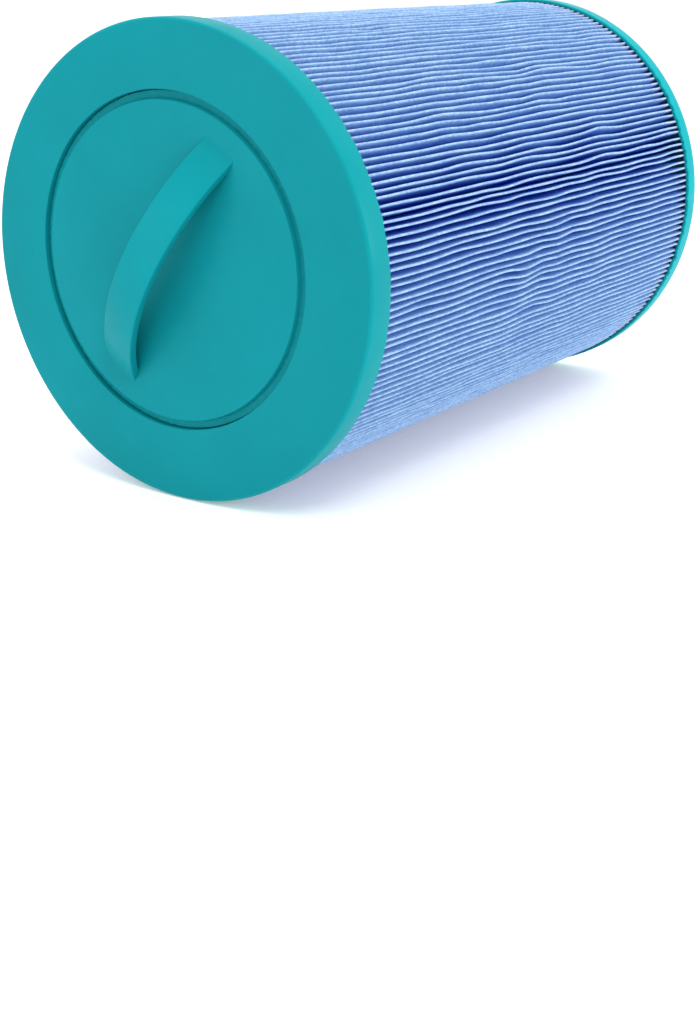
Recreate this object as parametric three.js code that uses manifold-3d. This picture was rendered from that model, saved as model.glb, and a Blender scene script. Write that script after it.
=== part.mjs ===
// Pleated spa and pool filter cartridge, lying on its side.
// Millimetres, +Z up. The cartridge's axis runs along X: the end with the
// moulded handle faces -X and the end with the threaded outlet faces +X.
// The origin is under the middle of the whole cartridge, on the ground.
import * as THREE from 'three';
import { mergeVertices } from 'three/addons/utils/BufferGeometryUtils.js';
import Module from 'manifold-3d';

const wasm = await Module();
wasm.setup();

// ---------------------------------------------------------------- dimensions
const CAP_R = 85.75;          // end caps, 6-3/4 in across
const BODY_L = 264;           // between the two cap faces
const SEG = 60;               // flats round every large circle
const GAP = 0.3;              // clearance between neighbouring pieces
const EDGE = 1.2;             // rounding of the caps' outer edges

const HANDLE_RIM = 11.2;      // depth of the handle-end cap's side
const THREAD_RIM = 7.8;       // depth of the threaded-end cap's side
const POCKET_R = 84.9;        // pocket that takes the ends of the pleats
const HANDLE_FLOOR = 6.5;     // handle-end cap, face to pocket floor
const THREAD_FLOOR = 4.4;     // threaded-end cap, face to pocket floor

const PLATE_R = 60.3;         // seat of the handle plate in its cap
const PLATE_T = 3.7;          // handle plate thickness
const PLATE_FACE_R = 57.1;    // level with the cap; outside it the rim is lower
const PLATE_STEP = 2.2;       // depth of that rim, which makes the ring groove
const PLATE_CHAMFER = 0.4;
const PLATE_OFF_Y = 1.6;      // the plate and its seat lie a little off the axis
const PLATE_OFF_Z = 1.6;
const HANDLE_HALF = 48.4;     // half of the grip's span at the face
const HANDLE_RISE = 18;       // top of the grip above the face
const HANDLE_T = 3.2;         // strap thickness
const HANDLE_W = 14.4;        // strap width
const HANDLE_ROOT = 1.6;      // how far the strap runs into the plate
const HANDLE_TURN = -59.4;    // degrees, span direction from +Y towards +Z

const GROOVE_R = 64.7;        // ring groove in the threaded-end face
const GROOVE_W = 3.2;
const GROOVE_D = 1.6;
const GROOVE_DRAFT = 0.4;     // how far its walls lean in

const FLANGE_R = 48;          // seat of the outlet's flange in its cap
const FLANGE_SEAT = 2.4;      // depth of that seat
const FLANGE_STEP = 0.5;      // the flange lies this much below the cap face
const OUTLET_L = 17.1;        // outlet beyond the cap face
const OUTLET_BORE = 20.5;
const OUTLET_MOUTH = 22.3;    // outside radius of the mouth ring
const THREAD_CREST = 24.15;   // 1-1/2 in pipe thread, 48.3 across
const THREAD_ROOT = 22.75;
const THREAD_PITCH = 2.21;    // 11.5 threads to the inch
const THREAD_TURNS = 5;       // a whole number
const OUTLET_SEG = 36;
const SPIGOT_R = 25;          // plugs into the core
const SPIGOT_L = 12;

const CORE_BORE = 25.3;
const CORE_R = 28.6;
const CORE_SECTIONS = 4;
const CORE_JOINT = 5;         // spigot length between core sections
const CORE_JOINT_R = 26.9;
const CORE_SEG = 24;
const WINDOW_ROWS = 4;
const WINDOW_COLS = 6;
const WINDOW_W = 13;
const PLUG_L = 9;

const PLEAT_R = POCKET_R - GAP;
const PLEAT_BORE = 29;

// ----------------------------------------------------------------- materials
const urethane = (color) =>
  new THREE.MeshStandardMaterial({ color, roughness: 0.42, metalness: 0 });
const TEAL = 0x1d9aa3;
const CORE_WHITE = new THREE.Color(0xe4e7e6);

// ------------------------------------------------------------------- helpers
// Profile points are [radius, x]; the lathe's own axis is Y and is laid
// along X. The half-step turn puts a flat, not a corner, at the bottom.
function lathe(profile, segments = SEG) {
  const points = profile.map(([r, x]) => new THREE.Vector2(r, x));
  if (THREE.ShapeUtils.isClockWise(points)) points.reverse();
  const first = points[0];
  const last = points[points.length - 1];
  if (first.x !== 0 || last.x !== 0) points.push(first.clone());
  const geometry = new THREE.LatheGeometry(points, segments);
  geometry.rotateY(Math.PI / segments);
  geometry.rotateZ(-Math.PI / 2);
  return geometry;
}

function solid(geometry) {
  const bare = geometry.clone();
  bare.deleteAttribute('normal');
  bare.deleteAttribute('uv');
  const merged = mergeVertices(bare, 1e-4);
  const index = Array.from(merged.index.array);
  const keep = [];
  for (let i = 0; i < index.length; i += 3) {
    const [a, b, c] = index.slice(i, i + 3);
    if (a !== b && b !== c && a !== c) keep.push(a, b, c);
  }
  const mesh = new wasm.Mesh({
    numProp: 3,
    vertProperties: new Float32Array(merged.attributes.position.array),
    triVerts: new Uint32Array(keep),
  });
  return new wasm.Manifold(mesh);
}

function geometryOf(body) {
  const mesh = body.getMesh();
  const geometry = new THREE.BufferGeometry();
  geometry.setAttribute('position', new THREE.BufferAttribute(mesh.vertProperties, 3));
  geometry.setIndex(new THREE.BufferAttribute(mesh.triVerts, 1));
  geometry.computeVertexNormals();
  return geometry;
}

// Rounded outer corner of a cap: from the side at x to the face.
function roundedEdge(radius, face, inward, steps = 2) {
  const points = [];
  for (let i = 0; i <= steps; i++) {
    const a = (i / steps) * (Math.PI / 2);
    points.push([
      radius - EDGE + EDGE * Math.cos(a),
      face + inward * (EDGE - EDGE * Math.sin(a)),
    ]);
  }
  return points;
}

// ---------------------------------------------------------------- handle end
// Cast cap: a cup over the pleats with a round seat for the handle plate.
function handleEndCap() {
  const cup = solid(lathe([
    [0, HANDLE_FLOOR],
    [POCKET_R, HANDLE_FLOOR],
    [POCKET_R, HANDLE_RIM],
    ...roundedSide(HANDLE_RIM),
    ...roundedEdge(CAP_R, 0, 1),
    [0, 0],
  ]));
  const over = 2;
  const seat = solid(lathe([
    [0, -over],
    [PLATE_R + PLATE_CHAMFER + over, -over],
    [PLATE_R, PLATE_CHAMFER],
    [PLATE_R, PLATE_T + GAP],
    [0, PLATE_T + GAP],
  ]));
  return geometryOf(cup.subtract(seat.translate(0, PLATE_OFF_Y, PLATE_OFF_Z)));
}

function roundedSide(x) {
  return [[CAP_R - 0.3, x], [CAP_R, x - 0.3]];
}

// The grip is a flat strap bent to an arc; both feet run into the plate.
function grip() {
  const radius = (HANDLE_HALF ** 2 + HANDLE_RISE ** 2) / (2 * HANDLE_RISE);
  const centre = HANDLE_RISE - radius;
  const arc = (r, steps, sign) => {
    const end = Math.acos((-HANDLE_ROOT - centre) / r);
    const points = [];
    for (let i = 0; i <= steps; i++) {
      const a = sign * end * (1 - (2 * i) / steps);
      points.push(new THREE.Vector2(r * Math.sin(a), centre + r * Math.cos(a)));
    }
    return points;
  };
  const bevel = 0.5;
  const shape = new THREE.Shape([
    ...arc(radius - bevel, 20, 1),
    ...arc(radius - HANDLE_T + bevel, 20, -1),
  ]);
  const geometry = new THREE.ExtrudeGeometry(shape, {
    depth: HANDLE_W - 2 * bevel,
    bevelEnabled: true,
    bevelSize: bevel,
    bevelThickness: bevel,
    bevelSegments: 1,
    curveSegments: 1,
  });
  geometry.translate(0, 0, -HANDLE_W / 2 + bevel);
  // Shape X is the span, shape Y the rise (towards -X), depth the width.
  const turn = THREE.MathUtils.degToRad(HANDLE_TURN);
  const span = new THREE.Vector3(0, Math.cos(turn), Math.sin(turn));
  const rise = new THREE.Vector3(-1, 0, 0);
  const width = span.clone().cross(rise);
  geometry.applyMatrix4(new THREE.Matrix4().makeBasis(span, rise, width));
  return geometry;
}

function handlePlate() {
  const r = PLATE_R - GAP;
  const disc = solid(lathe([
    [0, PLATE_T],
    [r, PLATE_T],
    [r, PLATE_STEP],
    [PLATE_FACE_R, PLATE_STEP],
    [PLATE_FACE_R, PLATE_CHAMFER],
    [PLATE_FACE_R - PLATE_CHAMFER, 0],
    [0, 0],
  ]));
  return geometryOf(disc.add(solid(grip())).translate(0, PLATE_OFF_Y, PLATE_OFF_Z));
}

// -------------------------------------------------------------- threaded end
function threadedEndCap() {
  const face = BODY_L;
  return lathe([
    [SPIGOT_R + GAP, face - THREAD_FLOOR],
    [SPIGOT_R + GAP, face - FLANGE_SEAT],
    [FLANGE_R, face - FLANGE_SEAT],
    [FLANGE_R, face],
    [GROOVE_R - GROOVE_W / 2, face],
    [GROOVE_R - GROOVE_W / 2 + GROOVE_DRAFT, face - GROOVE_D],
    [GROOVE_R + GROOVE_W / 2 - GROOVE_DRAFT, face - GROOVE_D],
    [GROOVE_R + GROOVE_W / 2, face],
    ...roundedEdge(CAP_R, face, -1).reverse(),
    [CAP_R, face - THREAD_RIM + 0.3],
    [CAP_R - 0.3, face - THREAD_RIM],
    [POCKET_R, face - THREAD_RIM],
    [POCKET_R, face - THREAD_FLOOR],
  ]);
}

// The outlet's skin, from the spigot's mouth out over the flange, up the
// thread, round the outlet's mouth and back through the bore. The thread is a
// true helix: its root line and crest line climb one pitch each turn, and the
// first and last of the crest fade into the wall.
function threadedOutlet() {
  const face = BODY_L;
  const flangeFace = face - FLANGE_STEP;
  const back = face - FLANGE_SEAT + GAP;
  const mouth = face + OUTLET_L;
  const n = OUTLET_SEG;
  const position = [];
  const index = [];
  const vertex = (r, a, x) => position.push(x, r * Math.cos(a), r * Math.sin(a)) / 3 - 1;
  const angle = (i) => ((i % n) / n) * Math.PI * 2;
  const ring = ([r, x]) => Array.from({ length: n }, (_, i) => vertex(r, angle(i), x));
  const quad = (a, b, c, d) => index.push(a, b, c, a, c, d);
  const band = (from, to) => {
    for (let i = 0; i < n; i++) {
      const j = (i + 1) % n;
      quad(from[i], from[j], to[j], to[i]);
    }
  };

  const inner = [
    [OUTLET_BORE, back - SPIGOT_L],
    [SPIGOT_R - 1, back - SPIGOT_L],
    [SPIGOT_R, back - SPIGOT_L + 1.5],
    [SPIGOT_R, back],
    [FLANGE_R - GAP, back],
    [FLANGE_R - GAP, flangeFace],
    [THREAD_ROOT, flangeFace],
  ].map(ring);
  const outer = [
    [THREAD_ROOT, mouth - 3.4],
    [OUTLET_MOUTH + 0.1, mouth - 3.1],
    [OUTLET_MOUTH + 0.1, mouth - 1.9],
    [OUTLET_MOUTH - 0.3, mouth - 1.6],
    [OUTLET_MOUTH - 0.3, mouth - 0.4],
    [OUTLET_MOUTH - 0.6, mouth],
    [OUTLET_BORE, mouth],
  ].map(ring);
  for (const rings of [inner, outer]) {
    for (let k = 0; k + 1 < rings.length; k++) band(rings[k], rings[k + 1]);
  }
  band(outer[outer.length - 1], inner[0]);

  const count = THREAD_TURNS * n;
  const start = flangeFace + 0.5;
  const climb = (i) => start + (i / n) * THREAD_PITCH;
  const root = [];
  const crest = [];
  for (let i = 0; i <= count + n; i++) root.push(vertex(THREAD_ROOT, angle(i), climb(i)));
  for (let i = 0; i <= count; i++) {
    const rise = (THREAD_CREST - THREAD_ROOT) * Math.min(1, (i + 1) / 8, (count - i + 1) / 8);
    crest.push(vertex(THREAD_ROOT + rise, angle(i), climb(i) + THREAD_PITCH / 2));
  }
  for (let i = 0; i < count; i++) {
    quad(root[i], root[i + 1], crest[i + 1], crest[i]);
    quad(crest[i], crest[i + 1], root[i + 1 + n], root[i + n]);
  }
  index.push(root[0], crest[0], root[n]);
  index.push(root[count], root[count + n], crest[count]);
  // Plain wall below and above the thread. The step where the helix starts and
  // ends falls on the seam, so the wall beside the seam is split to meet it.
  const foot = inner[inner.length - 1];
  const head = outer[0];
  for (let i = 0; i + 1 < n; i++) {
    quad(foot[i], foot[i + 1], root[i + 1], root[i]);
  }
  index.push(foot[n - 1], foot[0], root[0]);
  index.push(foot[n - 1], root[0], root[n], foot[n - 1], root[n], root[n - 1]);
  index.push(root[count], root[count + 1], head[1]);
  index.push(root[count], head[1], root[count + n], root[count + n], head[1], head[0]);
  for (let i = 1; i < n; i++) {
    quad(root[count + i], root[count + i + 1], head[(i + 1) % n], head[i]);
  }
  const geometry = new THREE.BufferGeometry();
  geometry.setAttribute('position', new THREE.Float32BufferAttribute(position, 3));
  geometry.setIndex(index);
  geometry.computeVertexNormals();
  return geometry;
}

// ---------------------------------------------------------------------- core
// Moulded tube in sections that plug into each other; windows let the
// filtered water through the wall.
const CORE_START = HANDLE_FLOOR + GAP;
const CORE_END = BODY_L - THREAD_FLOOR - GAP;
const CORE_STEP = (CORE_END - CORE_START) / CORE_SECTIONS;

function coreSection(number) {
  const x0 = CORE_START + number * CORE_STEP + (number > 0 ? GAP / 2 : 0);
  const x1 = CORE_START + (number + 1) * CORE_STEP - (number < CORE_SECTIONS - 1 ? GAP / 2 : 0);
  const profile = [];
  if (number > 0) {
    profile.push([CORE_BORE, x0 + CORE_JOINT + GAP], [CORE_JOINT_R + GAP, x0 + CORE_JOINT + GAP]);
    profile.push([CORE_JOINT_R + GAP, x0], [CORE_R, x0]);
  } else {
    profile.push([CORE_BORE, x0], [CORE_R, x0]);
  }
  if (number < CORE_SECTIONS - 1) {
    profile.push([CORE_R, x1], [CORE_JOINT_R, x1]);
    profile.push([CORE_JOINT_R, x1 + CORE_JOINT], [CORE_BORE, x1 + CORE_JOINT]);
  } else {
    profile.push([CORE_R, x1], [CORE_BORE, x1]);
  }
  let body = solid(lathe(profile, CORE_SEG));
  const from = x0 + 9;
  const to = number < CORE_SECTIONS - 1 ? x1 - 3 : x1 - 11;
  const pitch = (to - from) / WINDOW_ROWS;
  for (let row = 0; row < WINDOW_ROWS; row++) {
    for (let col = 0; col < WINDOW_COLS / 2; col++) {
      const bar = new THREE.BoxGeometry(pitch - 3, WINDOW_W, CORE_R * 2 + 6);
      bar.rotateX(((col + 0.5 * (row % 2)) / WINDOW_COLS) * Math.PI * 2);
      bar.translate(from + (row + 0.5) * pitch, 0, 0);
      body = body.subtract(solid(bar));
    }
  }
  return geometryOf(body);
}

// Cup that closes the core under the handle-end cap.
function corePlug() {
  const r = SPIGOT_R;
  return lathe([
    [0, CORE_START],
    [r, CORE_START],
    [r, CORE_START + PLUG_L],
    [r - 2, CORE_START + PLUG_L],
    [r - 2, CORE_START + 2],
    [0, CORE_START + 2],
  ], CORE_SEG);
}

// --------------------------------------------------------------------- media
// Envelope of the pleated media: crests on the outside, roots on the core.
function pleatPack() {
  return lathe([
    [PLEAT_BORE, CORE_START],
    [PLEAT_R, CORE_START],
    [PLEAT_R, CORE_END],
    [PLEAT_BORE, CORE_END],
  ]);
}

// ------------------------------------------------------------------ assembly
const cartridge = new THREE.Group();
function piece(name, geometry, material) {
  const mesh = new THREE.Mesh(geometry, material);
  mesh.name = name;
  cartridge.add(mesh);
}

piece('handle_end_cap', handleEndCap(), urethane(TEAL));
piece('handle_plate', handlePlate(), urethane(TEAL));
piece('threaded_end_cap', threadedEndCap(), urethane(0x25878b));
piece('threaded_outlet', threadedOutlet(), urethane(0x25878b));
piece('pleat_pack', pleatPack(), new THREE.MeshStandardMaterial({
  color: 0x5d86cf, roughness: 0.85, metalness: 0,
}));
for (let i = 0; i < CORE_SECTIONS; i++) {
  piece(`core_section_${i + 1}`, coreSection(i), new THREE.MeshStandardMaterial({
    color: CORE_WHITE, roughness: 0.5, metalness: 0,
  }));
}
piece('core_end_plug', corePlug(), new THREE.MeshStandardMaterial({
  color: CORE_WHITE, roughness: 0.5, metalness: 0,
}));

// The axis rides one flat's distance above the ground, and the middle of the
// whole length, grip to outlet mouth, is over the origin.
const middle = (BODY_L + OUTLET_L - HANDLE_RISE) / 2;
cartridge.position.set(-middle, 0, CAP_R * Math.cos(Math.PI / SEG));

export default cartridge;
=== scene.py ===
"""Looks for a pleated pool and spa filter cartridge that lies on its side.

The axis of the cartridge runs along X: grip end at -X, threaded outlet at +X.
Everything is in metres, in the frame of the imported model.
"""
import math

import bmesh
import bpy
import numpy as np
from mathutils import Matrix, Vector


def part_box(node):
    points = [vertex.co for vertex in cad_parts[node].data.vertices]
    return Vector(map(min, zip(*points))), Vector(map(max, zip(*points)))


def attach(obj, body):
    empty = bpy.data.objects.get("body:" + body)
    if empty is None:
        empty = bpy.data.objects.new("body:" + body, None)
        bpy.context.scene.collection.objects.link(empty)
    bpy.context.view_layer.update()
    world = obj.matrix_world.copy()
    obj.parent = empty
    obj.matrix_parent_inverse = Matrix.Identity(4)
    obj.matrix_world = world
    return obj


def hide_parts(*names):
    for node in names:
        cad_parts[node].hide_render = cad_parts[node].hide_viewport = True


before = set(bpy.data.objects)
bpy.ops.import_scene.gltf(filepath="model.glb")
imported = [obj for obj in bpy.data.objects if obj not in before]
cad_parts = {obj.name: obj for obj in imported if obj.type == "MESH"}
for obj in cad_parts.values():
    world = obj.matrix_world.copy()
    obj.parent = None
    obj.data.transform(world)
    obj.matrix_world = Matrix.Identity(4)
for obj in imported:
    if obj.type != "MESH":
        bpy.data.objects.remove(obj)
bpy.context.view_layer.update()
MM = 0.001
TAU = 2 * math.pi

# ------------------------------------------------------- sizes from the frame
grip_cap_low, grip_cap_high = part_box("handle_end_cap")
plate_low, plate_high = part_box("handle_plate")
thread_cap_low, thread_cap_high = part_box("threaded_end_cap")
outlet_low, outlet_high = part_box("threaded_outlet")
pleat_low, pleat_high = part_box("pleat_pack")

AXIS_Z = (grip_cap_low.z + grip_cap_high.z) / 2
CAP_R = AXIS_Z - grip_cap_low.z          # inside the flats, so it rests on z = 0
GRIP_FACE = grip_cap_low.x
GRIP_RIM = grip_cap_high.x
THREAD_FACE = thread_cap_high.x
THREAD_RIM = thread_cap_low.x
PLATE_R = (plate_high.z - plate_low.z) / 2
PLATE_Y = (plate_low.y + plate_high.y) / 2       # the plate lies a little off the axis
PLATE_Z = (plate_low.z + plate_high.z) / 2
GRIP_TOP = plate_low.x
MOUTH = outlet_high.x
OUTLET_BACK = outlet_low.x
FLANGE_R = (outlet_high.z - outlet_low.z) / 2

# ------------------------------------------------------------ driving details
PLEATS = 198
PLEAT_RINGS = 42             # with these the sheet stays under 200,000 triangles
PLEAT_CREST_R = 84.35 * MM
PLEAT_ROOT_R = 29.3 * MM
CREST_HALF = 0.42 * MM        # half the width of a fold at its crest
GRIP_POT = 1.0 * MM           # the urethane between the pleats, below the rim's edge
THREAD_POT = 2.7 * MM
# A fold beyond its root, outwards: (radius, half its width) in mm. The folds all
# but touch some way down and stand apart at their crests.
FOLD = ((63, 0.80), (76, 0.70), (83, 0.45))
CREST_STEPS = 4               # steps round the arc of a crest
KNOTS = 21                    # places along a pleat where it can change course
NEIGHBOURS = 6                # pleats over which a shared drift changes
OWN_WANDER = 0.52
SHARED_DRIFT = 0.8
LEAN = 0.185                  # size of both together, in pitches
UNEVEN = 0.07                 # how unevenly the crests are spaced, in pitches
WIDTH_SWELL = 0.10            # how much a crest's width varies
CREST_SWELL = 0.16            # how much its height varies, in mm
CREST_LOWEST = -0.35          # and its limits
CREST_HIGHEST = 0.2
CAP_SEGMENTS = PLEATS * 4     # enough for the rim's edge to follow each pleat
HUB = 0.1 * MM                # a disc's outline stops this short of the axis

GROOVE_R = 64.7 * MM
GROOVE_HALF = 1.6 * MM
GROOVE_D = 1.6 * MM
GROOVE_DRAFT = 0.4 * MM       # how far its walls lean in

SEAM = 0.03 * MM              # the cap was cast against the outlet's flange
FLANGE_STEP = 0.5 * MM        # the flange lies this much below the cap's face
FLANGE_SEAT = 2.4 * MM        # depth of its seat in the cap
OUTLET_BORE = 20.5 * MM
THREAD_ROOT = 22.75 * MM
THREAD_CREST = 24.15 * MM
THREAD_PITCH = 2.21 * MM
THREAD_START = 1.2 * MM       # above the cap face
THREAD_END = 13.4 * MM
MOUTH_R = 22.35 * MM
SPIGOT_R = 25 * MM

PLATE_FACE_R = 57.1 * MM      # the groove round the plate lies outside this
PLATE_GROOVE = 2.2 * MM       # its depth
PLATE_T = 3.7 * MM
PLATE_SEAT = 4.0 * MM         # depth of its seat in the cap
GRIP_HALF = 48.4 * MM         # half the span of the grip at the face
GRIP_T = 3.2 * MM
GRIP_W = 14.4 * MM
GRIP_TURN = math.radians(-59.4)
GRIP_SUNK = 1.6 * MM


def rng(seed):
    return np.random.default_rng(seed)


# --------------------------------------------------------------- mesh helpers
def rounded(points, steps=5):
    """Replaces each corner (r, x, radius) of a closed outline by an arc."""
    out = []
    count = len(points)
    for i in range(count):
        here = np.array(points[i][:2])
        before = np.array(points[i - 1][:2])
        after = np.array(points[(i + 1) % count][:2])
        radius = points[i][2]
        if radius <= 0:
            out.append(tuple(here))
            continue
        to_before = before - here
        to_after = after - here
        u = to_before / np.linalg.norm(to_before)
        v = to_after / np.linalg.norm(to_after)
        half = math.acos(max(-1, min(1, float(u @ v)))) / 2
        reach = radius / math.tan(half)
        reach = min(reach, np.linalg.norm(to_before) * 0.49, np.linalg.norm(to_after) * 0.49)
        radius = reach * math.tan(half)
        middle = here + (u + v) / np.linalg.norm(u + v) * (radius / math.sin(half))
        start = here + u * reach - middle
        end = here + v * reach - middle
        sweep = math.atan2(start[0] * end[1] - start[1] * end[0], float(start @ end))
        for k in range(steps + 1):
            a = sweep * k / steps
            turned = (start[0] * math.cos(a) - start[1] * math.sin(a),
                      start[0] * math.sin(a) + start[1] * math.cos(a))
            out.append((middle[0] + turned[0], middle[1] + turned[1]))
    return out


def add_object(name, verts, faces, material, sharp=40):
    mesh = bpy.data.meshes.new(name)
    mesh.from_pydata([tuple(v) for v in verts], [], [tuple(f) for f in faces])
    mesh.validate()
    mesh.update()
    mesh.materials.append(material)
    mesh.polygons.foreach_set("use_smooth", [True] * len(mesh.polygons))
    mesh.set_sharp_from_angle(angle=math.radians(sharp))
    obj = bpy.data.objects.new(name, mesh)
    bpy.context.scene.collection.objects.link(obj)
    return obj


def turn_outward(obj):
    """Makes the faces of a closed mesh point out."""
    bm = bmesh.new()
    bm.from_mesh(obj.data)
    bmesh.ops.recalc_face_normals(bm, faces=bm.faces)
    bm.to_mesh(obj.data)
    bm.free()


def lathe(name, outline, material, segments=360, warp=None, sharp=40, slide=None):
    """Turns a closed outline of (r, x) about the cartridge's axis.
    warp(angle, r, x) returns new r and x, for edges that aren't quite round.
    slide(r) is how much of the plate's offset from the axis a ring takes."""
    outline = np.array(outline)
    count = len(outline)
    angle = np.arange(segments) / segments * TAU
    r = np.repeat(outline[None, :, 0], segments, axis=0)
    x = np.repeat(outline[None, :, 1], segments, axis=0)
    a = np.repeat(angle[:, None], count, axis=1)
    if warp:
        r, x = warp(a, r, x)
    share = slide(r) if slide else 0 * r
    y = r * np.cos(a) + share * PLATE_Y
    z = r * np.sin(a) + share * (PLATE_Z - AXIS_Z)
    verts = np.stack([x, y, AXIS_Z + z], axis=2).reshape(-1, 3)
    faces = []
    for i in range(segments):
        j = (i + 1) % segments
        for k in range(count):
            m = (k + 1) % count
            faces.append((i * count + k, i * count + m, j * count + m, j * count + k))
    obj = add_object(name, verts, faces, material, sharp)
    turn_outward(obj)
    return obj


def waves(angle, seed, low, high, terms):
    """A smooth closed wobble round the axis, about -1 to 1."""
    draw = rng(seed)
    total = np.zeros_like(angle)
    for n in np.linspace(low, high, terms).astype(int):
        total += draw.normal() * np.cos(n * angle + draw.uniform(0, TAU))
    return total / math.sqrt(terms)


# ------------------------------------------------------------------ materials
def new_material(name, base, rough):
    material = bpy.data.materials.new(name)
    material.use_nodes = True
    shader = material.node_tree.nodes["Principled BSDF"]
    shader.inputs["Base Color"].default_value = (*base, 1)
    shader.inputs["Roughness"].default_value = rough
    return material, material.node_tree, shader


def noise_node(tree, scale, detail=4, rough=0.55, stretch=None):
    place = tree.nodes.new("ShaderNodeTexCoord")
    node = tree.nodes.new("ShaderNodeTexNoise")
    node.inputs["Scale"].default_value = scale
    node.inputs["Detail"].default_value = detail
    node.inputs["Roughness"].default_value = rough
    if stretch:
        mapping = tree.nodes.new("ShaderNodeMapping")
        mapping.inputs["Scale"].default_value = stretch
        tree.links.new(place.outputs["Object"], mapping.inputs["Vector"])
        tree.links.new(mapping.outputs["Vector"], node.inputs["Vector"])
    else:
        tree.links.new(place.outputs["Object"], node.inputs["Vector"])
    return node.outputs["Fac"]


def ramp_node(tree, value, stops):
    node = tree.nodes.new("ShaderNodeValToRGB")
    ramp = node.color_ramp
    while len(ramp.elements) < len(stops):
        ramp.elements.new(0.5)
    for element, (at, color) in zip(ramp.elements, stops):
        element.position = at
        element.color = (*color, 1)
    tree.links.new(value, node.inputs["Fac"])
    return node.outputs["Color"]


def spread_node(tree, value, low, high):
    node = tree.nodes.new("ShaderNodeMapRange")
    node.inputs["From Min"].default_value = 0.3
    node.inputs["From Max"].default_value = 0.7
    node.inputs["To Min"].default_value = low
    node.inputs["To Max"].default_value = high
    tree.links.new(value, node.inputs["Value"])
    return node.outputs["Result"]


def bump_nodes(tree, shader, layers):
    """layers: (height socket, strength, depth in metres)."""
    normal = None
    for height, strength, depth in layers:
        node = tree.nodes.new("ShaderNodeBump")
        node.inputs["Strength"].default_value = strength
        node.inputs["Distance"].default_value = depth
        tree.links.new(height, node.inputs["Height"])
        if normal:
            tree.links.new(normal, node.inputs["Normal"])
        normal = node.outputs["Normal"]
    tree.links.new(normal, shader.inputs["Normal"])


def radius_socket(tree):
    """How far the surface lies from the cartridge's axis, in metres."""
    place = tree.nodes.new("ShaderNodeTexCoord")
    apart = tree.nodes.new("ShaderNodeSeparateXYZ")
    tree.links.new(place.outputs["Object"], apart.inputs["Vector"])
    height = tree.nodes.new("ShaderNodeMath")
    height.operation = "SUBTRACT"
    height.inputs[1].default_value = AXIS_Z
    tree.links.new(apart.outputs["Z"], height.inputs[0])
    flat = tree.nodes.new("ShaderNodeCombineXYZ")
    tree.links.new(apart.outputs["Y"], flat.inputs["Y"])
    tree.links.new(height.outputs["Value"], flat.inputs["Z"])
    radius = tree.nodes.new("ShaderNodeVectorMath")
    radius.operation = "LENGTH"
    tree.links.new(flat.outputs["Vector"], radius.inputs[0])
    return radius.outputs["Value"]


def range_socket(tree, value, low, high):
    """0 to 1 as the value runs from low to high."""
    node = tree.nodes.new("ShaderNodeMapRange")
    node.inputs["From Min"].default_value = low
    node.inputs["From Max"].default_value = high
    tree.links.new(value, node.inputs["Value"])
    return node.outputs["Result"]


def mix_color(tree, factor, a, b, blend="MIX"):
    node = tree.nodes.new("ShaderNodeMix")
    node.data_type = "RGBA"
    node.blend_type = blend
    if isinstance(factor, float):
        node.inputs["Factor"].default_value = factor
    else:
        tree.links.new(factor, node.inputs["Factor"])
    tree.links.new(a, node.inputs["A"])
    tree.links.new(b, node.inputs["B"])
    return node.outputs["Result"]


def along_socket(tree):
    """Place along the cartridge, in metres."""
    place = tree.nodes.new("ShaderNodeTexCoord")
    apart = tree.nodes.new("ShaderNodeSeparateXYZ")
    tree.links.new(place.outputs["Object"], apart.inputs["Vector"])
    return apart.outputs["X"]


def urethane(name, shade, lit_side_tone=None, lit_strap_tone=None, bore_shade_tone=None):
    """Cast or moulded teal urethane: satin, slightly mottled, faintly pitted.
    The side colour is a brighter copy of the teal on a cap's side, painted light for
    the light that falls more strongly there; the strap colour is a brighter copy on the grip, painted
    light standing in for light passing through and onto the strap;
    and the colour of the outlet's inside is a near-black teal, painted shade."""
    material, tree, shader = new_material(name, shade, 0.4)

    def clouded(color):
        return ramp_node(tree, noise_node(tree, 22, 5), [
            (0.3, [c * 0.94 for c in color]),
            (0.7, [c * 1.06 for c in color]),
        ])

    tone = clouded(shade)
    # Painted light: the cap's side band takes a brighter copy of the teal, for the light that falls
    # more strongly there.
    if lit_side_tone:
        side = range_socket(tree, radius_socket(tree), CAP_R - 1.2 * MM, CAP_R - 0.3 * MM)
        tone = mix_color(tree, side, tone, clouded(lit_side_tone))
    # Painted light: the strap takes a brighter copy of the teal, standing in for light passing through
    # and onto it.
    if lit_strap_tone:
        proud = range_socket(tree, along_socket(tree), GRIP_FACE - 0.2 * MM, GRIP_FACE - 2 * MM)
        tone = mix_color(tree, proud, tone, clouded(lit_strap_tone))
    # Painted shade: the outlet's inside takes a near-black teal.
    if bore_shade_tone:
        wall = OUTLET_BORE + 0.1 * MM
        inside = range_socket(tree, radius_socket(tree), OUTLET_BORE + 0.5 * MM, wall)
        tone = mix_color(tree, inside, tone, clouded(bore_shade_tone))
    tree.links.new(tone, shader.inputs["Base Color"])
    tree.links.new(spread_node(tree, noise_node(tree, 60, 4), 0.3, 0.44), shader.inputs["Roughness"])
    shader.inputs["Specular IOR Level"].default_value = 0.03
    shader.inputs["Coat Weight"].default_value = 0.015
    shader.inputs["Coat Roughness"].default_value = 0.12
    bump_nodes(tree, shader, [
        (noise_node(tree, 45, 3), 0.25, 0.0006),
        (noise_node(tree, 900, 2), 0.12, 0.00008),
    ])
    return material


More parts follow.
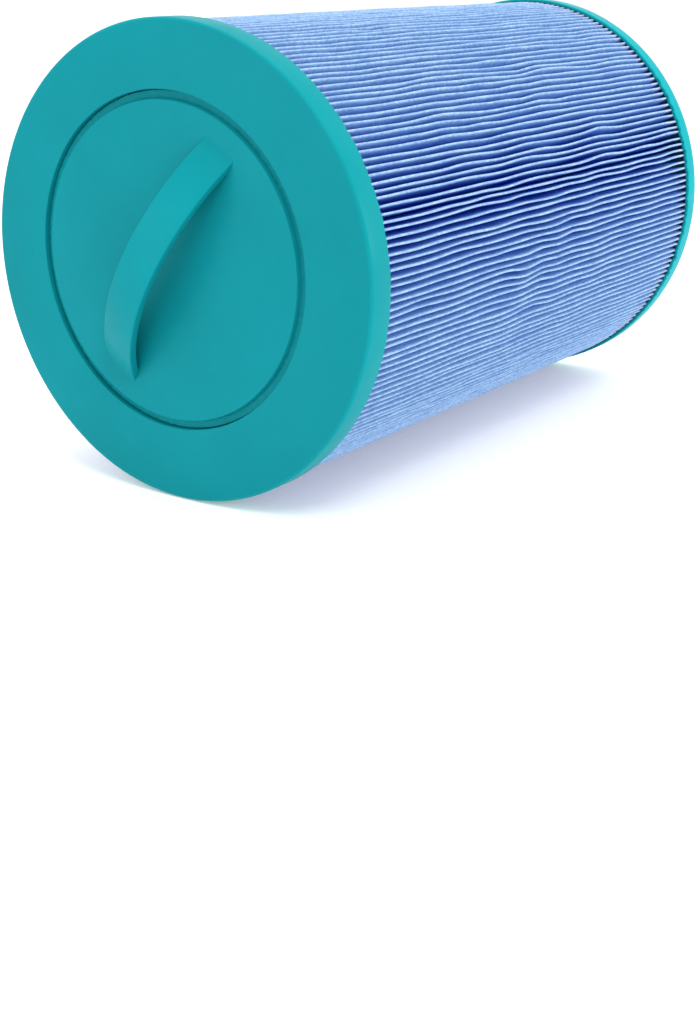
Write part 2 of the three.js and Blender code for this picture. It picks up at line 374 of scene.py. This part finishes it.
def media_material():
    """Calendered spunbonded polyester: light blue, with painted shade darkening it deeper in the folds.
    """
    material, tree, shader = new_material("pleated_media", (0.15, 0.35, 0.9), 0.8)
    # Painted shade: the blue darkens towards navy the deeper the surface lies in the folds.
    depth = range_socket(tree, radius_socket(tree), PLEAT_CREST_R - 12 * MM, PLEAT_CREST_R)
    tone = ramp_node(tree, depth, [
        (0.0, (0.016, 0.085, 0.72)),
        (0.55, (0.15, 0.32, 0.76)),
        (0.93, (0.25, 0.44, 0.66)),
        (0.985, (0.375, 0.54, 0.73)),
    ])
    # The crests are paler close to the outlet end.
    end = range_socket(tree, along_socket(tree), THREAD_RIM - 14 * MM, THREAD_RIM - 2 * MM)
    crest = range_socket(tree, depth, 0.9, 1.0)
    pale_crests = tree.nodes.new("ShaderNodeMath")
    pale_crests.operation = "MULTIPLY"
    tree.links.new(end, pale_crests.inputs[0])
    tree.links.new(crest, pale_crests.inputs[1])
    pale = ramp_node(tree, end, [(0.0, (0.4, 0.54, 0.72)), (1.0, (0.55, 0.59, 0.72))])
    tone = mix_color(tree, pale_crests.outputs["Value"], tone, pale)
    fibres = ramp_node(tree, noise_node(tree, 900, 5, 0.8, (0.6, 1, 1)), [
        (0.36, (0.50, 0.60, 0.74)),
        (0.60, (1.0, 1.0, 1.0)),
    ])
    tone = mix_color(tree, 1.0, tone, fibres, "MULTIPLY")
    blotches = ramp_node(tree, noise_node(tree, 280, 3, 0.6, (0.4, 1, 1)), [
        (0.36, (0.80, 0.84, 0.91)),
        (0.62, (1.0, 1.0, 1.0)),
    ])
    tree.links.new(mix_color(tree, 1.0, tone, blotches, "MULTIPLY"), shader.inputs["Base Color"])
    shader.inputs["Specular IOR Level"].default_value = 0.15
    shader.inputs["Sheen Weight"].default_value = 0.1
    shader.inputs["Sheen Roughness"].default_value = 0.5
    shader.inputs["Sheen Tint"].default_value = (0.25, 0.5, 1.0, 1)
    # Painted light: a faint blue emission on the outer folds stands in for light passing through the
    # cloth, so they stay navy where no light reaches.
    painted_glow_reach = range_socket(tree, radius_socket(tree), PLEAT_CREST_R - 30 * MM, PLEAT_CREST_R - 18 * MM)
    painted_glow = ramp_node(tree, painted_glow_reach, [(0.0, (0, 0, 0)), (1.0, (0, 0.06, 1))])
    tree.links.new(painted_glow, shader.inputs["Emission Color"])
    shader.inputs["Emission Strength"].default_value = 0.04
    bump_nodes(tree, shader, [
        (noise_node(tree, 500, 4, 0.6), 0.35, 0.00025),
        (noise_node(tree, 2200, 2, 0.6), 0.2, 0.00008),
    ])
    return material


def core_material():
    """Moulded off-white plastic of the core."""
    shade = (0.62, 0.66, 0.66)
    material, tree, shader = new_material("core_plastic", shade, 0.5)
    tone = ramp_node(tree, noise_node(tree, 30, 4), [
        (0.3, [c * 0.92 for c in shade]),
        (0.7, shade),
    ])
    tree.links.new(tone, shader.inputs["Base Color"])
    tree.links.new(spread_node(tree, noise_node(tree, 80, 3), 0.42, 0.6), shader.inputs["Roughness"])
    bump_nodes(tree, shader, [(noise_node(tree, 300, 3), 0.2, 0.0002)])
    return material


GRIP_TEAL = (0.003, 0.213, 0.246)
THREAD_TEAL = (0.006, 0.17, 0.186)
OUTLET_TEAL = (0.006, 0.19, 0.205)
# Near-black teal for the outlet's inside: painted shade.
BORE_PAINTED_SHADE_TEAL = (0.012, 0.045, 0.05)
# Brighter copies of the cap teal for the caps' sides: painted light.
SIDE_PAINTED_LIT_TEAL = (0.003, 0.262, 0.292)
FAR_SIDE_PAINTED_LIT_TEAL = (0.003, 0.32, 0.36)
# Brighter copy of the grip teal for the strap: painted light.
STRAP_PAINTED_LIT_TEAL = (0.003, 0.233, 0.268)
cap_urethane = urethane("cap_urethane", GRIP_TEAL, SIDE_PAINTED_LIT_TEAL)
handle_urethane = urethane("handle_urethane", GRIP_TEAL, lit_strap_tone=STRAP_PAINTED_LIT_TEAL)
end_urethane = urethane("end_urethane", THREAD_TEAL, FAR_SIDE_PAINTED_LIT_TEAL)
outlet_plastic = urethane("outlet_plastic", OUTLET_TEAL, bore_shade_tone=BORE_PAINTED_SHADE_TEAL)
pleated_media = media_material()
core_plastic = core_material()


def belongs(piece, slot, *nodes):
    """Rides on the one body and stands for its CAD nodes; slot is not used."""
    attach(piece, "root")
    if nodes:
        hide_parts(*nodes)


# ------------------------------------------------------------------- end caps
def scalloped_edge(edge, inward, seed):
    """Urethane creeps a little way up each pleat, so the rim's edge is uneven."""
    reach = 1.6 * MM
    rim_from = PLATE_R * 1.2

    def warp(angle, r, x):
        near = np.clip(1 - np.abs(x - edge) / reach, 0, 1) * (r > PLEAT_ROOT_R)
        creep = 0.2 * np.cos(PLEATS * angle + 2 * waves(angle, seed, 3, 40, 14))
        creep += 0.3 * waves(angle, seed + 1, 20, 170, 40)
        creep *= 0.7 + 0.5 * waves(angle, seed + 3, 1, 4, 3)
        wobble = 0.05 * waves(angle, seed + 2, 2, 9, 6)
        return r + wobble * MM * (r > rim_from), x - inward * near * creep * MM

    return warp


def grip_cap():
    seat = PLATE_R + 0.35 * MM
    edge = 1.2 * MM
    outline = rounded([
        (HUB, GRIP_FACE + PLATE_SEAT, 0),
        (seat, GRIP_FACE + PLATE_SEAT, 0),
        (seat, GRIP_FACE, 0.4 * MM),
        (CAP_R, GRIP_FACE, edge),
        (CAP_R, GRIP_RIM, 0.35 * MM),
        (PLEAT_CREST_R - 0.4 * MM, GRIP_RIM, 0.2 * MM),
        (PLEAT_CREST_R - 1.6 * MM, GRIP_RIM - GRIP_POT, 0.3 * MM),
        (HUB, GRIP_RIM - GRIP_POT, 0),
    ])

    def seat_slide(r):
        return np.clip((CAP_R - 4 * MM - r) / (CAP_R - 6 * MM - seat), 0, 1)

    cap = lathe("grip_end_cap", outline, cap_urethane, CAP_SEGMENTS,
                scalloped_edge(GRIP_RIM, 1, 11), slide=seat_slide)
    belongs(cap, "cap_urethane", "handle_end_cap")


def thread_cap():
    edge = 1.3 * MM
    groove_in = GROOVE_R - GROOVE_HALF
    groove_out = GROOVE_R + GROOVE_HALF
    groove_floor = THREAD_FACE - GROOVE_D
    outline = rounded([
        (SPIGOT_R + 0.3 * MM, THREAD_RIM + THREAD_POT, 0),
        (SPIGOT_R + 0.3 * MM, THREAD_FACE - FLANGE_SEAT, 0),
        (FLANGE_R + SEAM, THREAD_FACE - FLANGE_SEAT, 0),
        (FLANGE_R + SEAM, THREAD_FACE - FLANGE_STEP, 0),
        (FLANGE_R + 1.6 * MM, THREAD_FACE, 1.2 * MM),
        (groove_in, THREAD_FACE, 0.35 * MM),
        (groove_in + GROOVE_DRAFT, groove_floor, 0.4 * MM),
        (groove_out - GROOVE_DRAFT, groove_floor, 0.4 * MM),
        (groove_out, THREAD_FACE, 0.35 * MM),
        (CAP_R, THREAD_FACE, edge),
        (CAP_R, THREAD_RIM, 0.35 * MM),
        (PLEAT_CREST_R - 0.2 * MM, THREAD_RIM, 0.2 * MM),
        (PLEAT_CREST_R - 1.6 * MM, THREAD_RIM + THREAD_POT, 0.3 * MM),
    ])
    cap = lathe("outlet_end_cap", outline, end_urethane, CAP_SEGMENTS,
                scalloped_edge(THREAD_RIM, -1, 21))
    belongs(cap, "end_urethane", "threaded_end_cap")


# ------------------------------------------------------------- plate and grip
def grip_strap():
    """The strap is a rounded rectangle swept along an arc; it swells a little
    into the plate at both roots."""
    rise = GRIP_FACE - GRIP_TOP
    radius = (GRIP_HALF ** 2 + rise ** 2) / (2 * rise)
    centre = rise - radius
    end = math.acos((-GRIP_SUNK - centre) / radius)
    corner = 0.55 * MM
    section = []
    for sx, sy, start in ((1, 1, 0), (-1, 1, 90), (-1, -1, 180), (1, -1, 270)):
        for k in range(4):
            a = math.radians(start + 30 * k)
            section.append((
                sx * (GRIP_W / 2 - corner) + corner * math.cos(a),
                sy * (GRIP_T / 2 - corner) + corner * math.sin(a),
            ))
    stations = 96
    root_length = 2.5 * MM
    verts = []
    for i in range(stations + 1):
        a = end * (2 * i / stations - 1)
        arc_left = (end - abs(a)) * radius
        swell = max(0, 1 - (arc_left - GRIP_SUNK) / root_length)
        swell = min(1, swell) ** 2
        middle = radius - GRIP_T / 2
        for w, t in section:
            r = middle + t * (1 + 0.35 * swell)
            s = r * math.sin(a)
            h = centre + r * math.cos(a)
            w = w * (1 + 0.03 * swell)
            y = s * math.cos(GRIP_TURN) + w * math.sin(GRIP_TURN)
            z = s * math.sin(GRIP_TURN) - w * math.cos(GRIP_TURN)
            verts.append((GRIP_FACE - h, PLATE_Y + y, PLATE_Z + z))
    n = len(section)
    faces = [tuple(range(n)), tuple(range(stations * n, stations * n + n))]
    for i in range(stations):
        for k in range(n):
            m = (k + 1) % n
            faces.append((i * n + k, i * n + m, (i + 1) * n + m, (i + 1) * n + k))
    strap = add_object("grip_strap", verts, faces, handle_urethane, 50)
    turn_outward(strap)
    return strap


def plate():
    groove_floor = GRIP_FACE + PLATE_GROOVE
    outline = rounded([
        (HUB, GRIP_FACE, 0),
        (PLATE_FACE_R - 0.2 * MM, GRIP_FACE, 0.35 * MM),
        (PLATE_FACE_R + 0.3 * MM, groove_floor, 0.4 * MM),
        (PLATE_R, groove_floor - 0.1 * MM, 0.1 * MM),
        (PLATE_R, GRIP_FACE + PLATE_T, 0),
        (HUB, GRIP_FACE + PLATE_T, 0),
    ])

    def cast(angle, r, x):
        in_groove = np.clip((x - GRIP_FACE) / PLATE_GROOVE, 0, 1) * (r > PLATE_FACE_R)
        return r, x - in_groove * 0.12 * MM * waves(angle, 41, 9, 160, 40)

    disc = lathe("grip_plate", outline, handle_urethane, 720, cast, slide=np.ones_like)
    strap = grip_strap()
    belongs(disc, "handle_urethane", "handle_plate")
    belongs(strap, "handle_urethane")


# --------------------------------------------------------------------- outlet
def thread_form(angle, r, x):
    """Lifts the wall into a round-topped helical ridge over the threaded length."""
    lift = np.clip((r - (THREAD_ROOT - 0.05 * MM)) / (0.1 * MM), 0, 1)
    lift *= r < THREAD_ROOT + 0.05 * MM
    along = x - THREAD_FACE
    fade = np.clip((along - THREAD_START) / (1.2 * MM), 0, 1)
    fade *= np.clip((THREAD_END - along) / (1.2 * MM), 0, 1)
    phase = along / THREAD_PITCH - angle / TAU
    ridge = 0.5 + 0.5 * np.cos(TAU * phase)
    ridge = np.clip(ridge * 1.25, 0, 1)
    return r + lift * fade * ridge * (THREAD_CREST - THREAD_ROOT), x


def outlet():
    flange_face = THREAD_FACE - FLANGE_STEP
    flange_back = THREAD_FACE - 2.1 * MM
    foot = 0.8 * MM
    neck = MOUTH - 3.4 * MM
    wall = [(THREAD_ROOT, x) for x in np.linspace(flange_face + foot, neck - 0.2 * MM, 110)]
    lower = rounded([
        (OUTLET_BORE, OUTLET_BACK, 0.3 * MM),
        (SPIGOT_R - 0.6 * MM, OUTLET_BACK, 0.6 * MM),
        (SPIGOT_R, flange_back, 0),
        (FLANGE_R, flange_back, 0),
        (FLANGE_R, flange_face, 0),
        (THREAD_ROOT, flange_face, 0.6 * MM),
        (THREAD_ROOT, MOUTH, 0),
    ])[:-1]
    upper = rounded([
        (THREAD_ROOT, flange_face, 0),
        (THREAD_ROOT, neck, 0.1 * MM),
        (MOUTH_R, neck + 0.25 * MM, 0.1 * MM),
        (MOUTH_R, MOUTH - 1.9 * MM, 0.15 * MM),
        (MOUTH_R - 0.4 * MM, MOUTH - 1.6 * MM, 0.15 * MM),
        (MOUTH_R - 0.4 * MM, MOUTH, 0.4 * MM),
        (OUTLET_BORE, MOUTH, 0.4 * MM),
        (OUTLET_BORE, OUTLET_BACK, 0),
    ])[1:-1]
    piece = lathe("outlet_fitting", lower + wall + upper, outlet_plastic, 240, thread_form, 35)
    belongs(piece, "outlet_plastic", "threaded_outlet")


def potting_flash():
    """Thin ragged film of urethane that ran in round the core's end."""
    at = THREAD_FACE - 6 * MM
    reach = 2.4 * MM
    outline = [
        (OUTLET_BORE + 0.2 * MM, at),
        (OUTLET_BORE + 0.2 * MM, at + 0.9 * MM),
        (OUTLET_BORE - 1.2 * MM, at + 0.8 * MM),
        (OUTLET_BORE - reach, at + 0.4 * MM),
        (OUTLET_BORE - 1.2 * MM, at + 0.1 * MM),
    ]

    def ragged(angle, r, x):
        inside = np.clip((OUTLET_BORE - r) / reach, 0, 1)
        rag = 0.9 * waves(angle, 31, 2, 9, 6) + 0.45 * waves(angle, 32, 12, 60, 20)
        return r - inside * rag * MM, x + inside * 0.5 * MM * waves(angle, 33, 2, 11, 6)

    piece = lathe("potting_flash", outline, outlet_plastic, 360, ragged)
    belongs(piece, "outlet_plastic")


# --------------------------------------------------------------------- pleats
def smoothed(values):
    """Rounds off the bends between knots."""
    return np.convolve(np.pad(values, 1, mode="edge"), (0.25, 0.5, 0.25), mode="valid")


def pleats():
    """One folded sheet all the way round. Crests wander along their length,
    most in the middle and not at all where they are potted."""
    start = pleat_low.x
    end = pleat_high.x
    length = end - start
    u = np.linspace(0, 1, PLEAT_RINGS + 1)
    draw = rng(5)
    pitch = TAU / PLEATS
    free = np.sin(math.pi * u) ** 0.5
    groups = PLEATS // NEIGHBOURS
    knot_at = np.linspace(0, 1, KNOTS)
    lean = np.zeros((PLEATS, len(u)))
    swell = np.zeros((PLEATS, len(u)))
    wander = draw.normal(size=(PLEATS, KNOTS))
    shared = draw.normal(size=(groups + 1, KNOTS))      # the last row is spare
    puff = draw.normal(size=(PLEATS, KNOTS))
    for k in range(PLEATS):
        group = k * groups / PLEATS
        g = int(group)
        blend = group - g
        drift = shared[g] * (1 - blend) + shared[(g + 1) % groups] * blend
        course = np.interp(u, knot_at, OWN_WANDER * wander[k] + SHARED_DRIFT * drift)
        lean[k] = smoothed(course) * free * LEAN * pitch
        swell[k] = smoothed(np.interp(u, knot_at, puff[k]))
    base_shift = draw.normal(size=PLEATS) * UNEVEN * pitch
    columns = []
    for k in range(PLEATS):
        centre = (k + 0.5) * pitch + base_shift[k] + lean[k]
        width = CREST_HALF * (1 + WIDTH_SWELL * swell[k])
        rise = np.clip(CREST_SWELL * swell[k], CREST_LOWEST, CREST_HIGHEST) * MM * free
        crest = PLEAT_CREST_R + rise
        root_left = k * pitch
        columns.append((np.full_like(u, PLEAT_ROOT_R), np.full_like(u, root_left)))
        for side in (-1, 1):
            order = FOLD if side < 0 else FOLD[::-1]
            for r_mm, half_mm in order:
                r = r_mm * MM
                half = half_mm * MM
                t = (r - PLEAT_ROOT_R) / (PLEAT_CREST_R - PLEAT_ROOT_R)
                mid = (root_left + pitch / 2) * (1 - t) + centre * t
                columns.append((np.full_like(u, r), mid + side * half / r))
            if side < 0:
                for s in range(CREST_STEPS + 1):
                    a = math.pi * s / CREST_STEPS
                    r = crest - width + width * math.sin(a)
                    columns.append((r, centre - width * math.cos(a) / PLEAT_CREST_R))
    radius = np.array([c[0] for c in columns])
    angle = np.array([c[1] for c in columns])
    x = start + length * u
    verts = np.stack([
        np.broadcast_to(x, radius.shape),
        radius * np.cos(angle),
        AXIS_Z + radius * np.sin(angle),
    ], axis=2).reshape(-1, 3)
    rings = len(u)
    total = len(columns)
    c = np.arange(total)[:, None]
    i = np.arange(rings - 1)[None, :]
    d = (c + 1) % total
    faces = np.stack([c * rings + i, c * rings + i + 1, d * rings + i + 1, d * rings + i], axis=2)
    piece = add_object("pleated_media_folds", verts, faces.reshape(-1, 4).tolist(), pleated_media, 70)
    belongs(piece, "pleated_media", "pleat_pack")


# ----------------------------------------------------------------------- core
def core():
    """The core stays as the CAD has it, in moulded plastic."""
    for name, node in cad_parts.items():
        if name.startswith("core_"):
            node.data.materials.clear()
            node.data.materials.append(core_plastic)


grip_cap()
plate()
thread_cap()
outlet()
potting_flash()
pleats()
core()


# ------------------------------------------------------- floor, light, camera
def floor():
    half = 4.0
    material, tree, shader = new_material("floor_pale", (0.97, 0.97, 0.97), 0.6)
    tone = ramp_node(tree, noise_node(tree, 6, 3), [
        (0.3, (0.96, 0.96, 0.96)),
        (0.7, (0.98, 0.98, 0.98)),
    ])
    tree.links.new(tone, shader.inputs["Base Color"])
    shader.inputs["Emission Color"].default_value = (1, 1, 1, 1)
    shader.inputs["Emission Strength"].default_value = 0.22
    drop = -0.0002
    corners = [(-half, -half, drop), (half, -half, drop), (half, half, drop), (-half, half, drop)]
    plane = add_object("floor", corners, [(0, 1, 2, 3)], material)


def area_light(name, place, target, size, power):
    data = bpy.data.lights.new(name, "AREA")
    data.shape = "RECTANGLE"
    data.size, data.size_y = size
    data.energy = power
    lamp = bpy.data.objects.new(name, data)
    bpy.context.scene.collection.objects.link(lamp)
    toward = Vector(target) - Vector(place)
    turn = toward.to_track_quat("-Z", "Y").to_matrix().to_4x4()
    lamp.matrix_world = Matrix.Translation(place) @ turn


def studio():
    world = bpy.data.worlds.new("studio")
    world.use_nodes = True
    background = world.node_tree.nodes["Background"]
    background.inputs["Color"].default_value = (1, 1, 1, 1)
    background.inputs["Strength"].default_value = 1.05
    bpy.context.scene.world = world
    middle = (0, 0, AXIS_Z)
    area_light("key", (-0.6, -0.55, 0.95), middle, (0.35, 0.35), 4)
    area_light("top", (0.1, 0.1, 1.2), middle, (0.8, 0.6), 5)
    area_light("grip_fill", (-1.1, 0.5, 0.3), middle, (0.6, 0.6), 2)
    area_light("far_side", (0.42, -0.7, 0.25), (THREAD_FACE, -0.05, AXIS_Z), (0.3, 0.3), 1.8)


def camera():
    """Looks at the grip end from in front of it and above, body running away
    to the right. The face's middle lies left of and above the line of sight."""
    sensor = 36
    focal = 1.5456            # in sensor widths
    yaw = math.radians(34.67)
    pitch = math.radians(19.48)
    face_right = -0.73875 * CAP_R
    face_up = 0.97322 * CAP_R
    face_ahead = 6.45541 * CAP_R
    sight = Vector((math.cos(yaw) * math.cos(pitch), math.sin(yaw) * math.cos(pitch), -math.sin(pitch)))
    right = Vector((math.sin(yaw), -math.cos(yaw), 0))
    up = right.cross(sight)
    face = Vector((GRIP_FACE, 0, AXIS_Z))
    place = face - right * face_right - up * face_up - sight * face_ahead
    data = bpy.data.cameras.new("camera")
    data.sensor_width = sensor
    data.lens = sensor * focal
    data.clip_start = 0.01
    eye = bpy.data.objects.new("camera", data)
    bpy.context.scene.collection.objects.link(eye)
    eye.matrix_world = Matrix((
        (right.x, up.x, -sight.x, place.x),
        (right.y, up.y, -sight.y, place.y),
        (right.z, up.z, -sight.z, place.z),
        (0, 0, 0, 1),
    ))
    bpy.context.scene.camera = eye


floor()
studio()
camera()
bpy.context.scene.view_settings.view_transform = "Standard"
